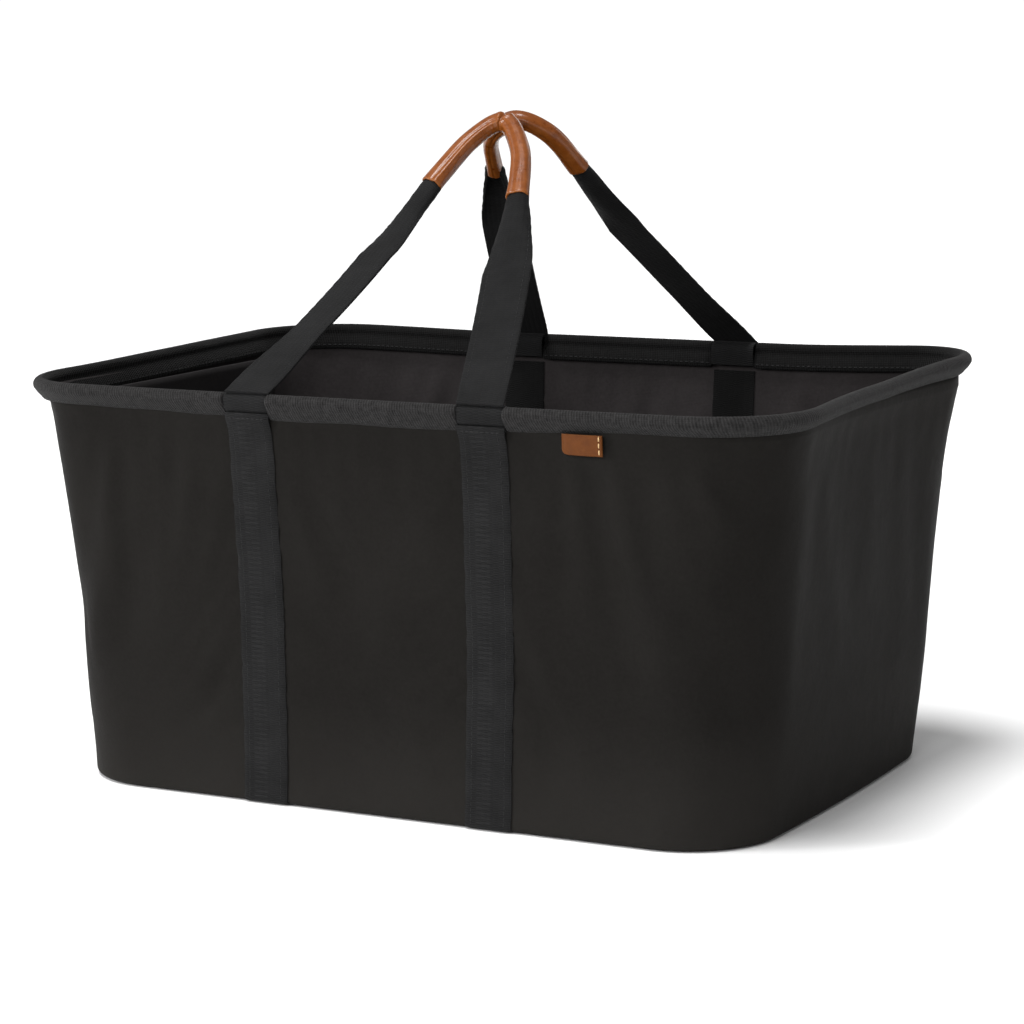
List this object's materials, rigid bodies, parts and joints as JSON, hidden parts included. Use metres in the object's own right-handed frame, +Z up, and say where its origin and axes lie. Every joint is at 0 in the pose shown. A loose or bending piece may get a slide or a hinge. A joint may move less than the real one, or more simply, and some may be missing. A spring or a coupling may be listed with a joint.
{
  "type": "foldable tote bag",
  "caption": "Open rectangular soft tote on a flat base, with a bound wire rim, webbing straps and carry handles with leather grips; the rim drops flat onto the base.",
  "frame": {"origin": "centre of the underside of the base", "axes": "+Z up, +X along the long side towards the right end, -Y towards the front side that carries the label"},
  "size_m": [0.5794, 0.402, 0.459],
  "materials": {
    "shell_fabric": "coated tight weave, faint sheen",
    "lining": "matt lining weave",
    "webbing": "ribbed webbing",
    "binding": "woven edge tape",
    "leather": "waxed saddle brown",
    "label_leather": "smooth tan",
    "thread": "waxed thread",
    "steel": "spring wire",
    "board": "stiffener sheet"
  },
  "bodies": {
    "base": {"base_board": "board", "bottom_panel": "shell_fabric", "left_base_strap": "webbing", "right_base_strap": "webbing", "front_wall": "shell_fabric", "back_wall": "shell_fabric", "front_left_wall_strap": "webbing", "front_right_wall_strap": "webbing", "back_left_wall_strap": "webbing", "back_right_wall_strap": "webbing", "front_left_inner_strap": "lining", "front_right_inner_strap": "lining", "back_left_inner_strap": "lining", "back_right_inner_strap": "lining"},
    "left_end_lower": {"left_end_wall_lower": "shell_fabric"},
    "left_end_upper": {"left_end_wall_upper": "shell_fabric"},
    "right_end_lower": {"right_end_wall_lower": "shell_fabric"},
    "right_end_upper": {"right_end_wall_upper": "shell_fabric"},
    "rim": {"rim_wire": "steel", "front_binding": "binding", "back_binding": "binding", "left_binding": "binding", "right_binding": "binding", "front_left_handle_loop": "webbing", "front_right_handle_loop": "webbing", "back_left_handle_loop": "webbing", "back_right_handle_loop": "webbing", "label": "label_leather", "label_stitch": "thread"},
    "front_handle": {"front_handle_webbing": "webbing", "front_grip": "leather"},
    "back_handle": {"back_handle_webbing": "webbing", "back_grip": "leather"},
    "left_support": {"left_support_cover": "lining", "left_support_board": "board", "left_support_wire": "steel", "left_pull_tab": "webbing"},
    "right_support": {"right_support_cover": "lining", "right_support_board": "board", "right_support_wire": "steel", "right_pull_tab": "webbing"}
  },
  "joints": [
    {"name": "collapse", "type": "hinge", "parent": "base", "child": "left_end_lower", "pos_m": [-0.2635, 0, 0.012], "axis": [0, 1, 0], "range_deg": [0, 87], "deforming": ["front_wall", "back_wall", "front_left_wall_strap", "front_right_wall_strap", "back_left_wall_strap", "back_right_wall_strap", "front_left_inner_strap", "front_right_inner_strap", "back_left_inner_strap", "back_right_inner_strap"]},
    {"name": "left_end_fold", "type": "hinge", "parent": "left_end_lower", "child": "left_end_upper", "pos_m": [-0.2683, 0, 0.132], "axis": [0, 1, 0], "range_deg": [-172, 0]},
    {"name": "rim_level", "type": "hinge", "parent": "left_end_upper", "child": "rim", "pos_m": [-0.2735, 0, 0.262], "axis": [0, 1, 0], "range_deg": [0, 85]},
    {"name": "right_end_swing", "type": "hinge", "parent": "base", "child": "right_end_lower", "pos_m": [0.2635, 0, 0.012], "axis": [0, -1, 0], "range_deg": [0, 88]},
    {"name": "right_end_fold", "type": "hinge", "parent": "right_end_lower", "child": "right_end_upper", "pos_m": [0.2683, 0, 0.132], "axis": [0, -1, 0], "range_deg": [-172, 0]},
    {"name": "left_support_swing", "type": "hinge", "parent": "rim", "child": "left_support", "pos_m": [-0.2675, 0, 0.272], "axis": [0, -1, 0], "range_deg": [0, 87]},
    {"name": "right_support_swing", "type": "hinge", "parent": "rim", "child": "right_support", "pos_m": [0.2675, 0, 0.272], "axis": [0, 1, 0], "range_deg": [0, 87]},
    {"name": "front_handle_swing", "type": "hinge", "parent": "rim", "child": "front_handle", "pos_m": [0, -0.201, 0.2828], "axis": [-1, 0, 0], "range_deg": [-210, 0]},
    {"name": "back_handle_swing", "type": "hinge", "parent": "rim", "child": "back_handle", "pos_m": [0, 0.201, 0.2828], "axis": [1, 0, 0], "range_deg": [-210, 0]}
  ],
  "couplings": [
    {"joint": "left_end_fold", "follows": "collapse", "ratio": -1.9504},
    {"joint": "rim_level", "follows": "collapse", "ratio": 0.95036},
    {"joint": "right_end_swing", "follows": "collapse", "ratio": 1},
    {"joint": "right_end_fold", "follows": "collapse", "ratio": -1.9504},
    {"joint": "left_support_swing", "follows": "collapse", "ratio": 0.98},
    {"joint": "right_support_swing", "follows": "collapse", "ratio": 0.98}
  ]
}
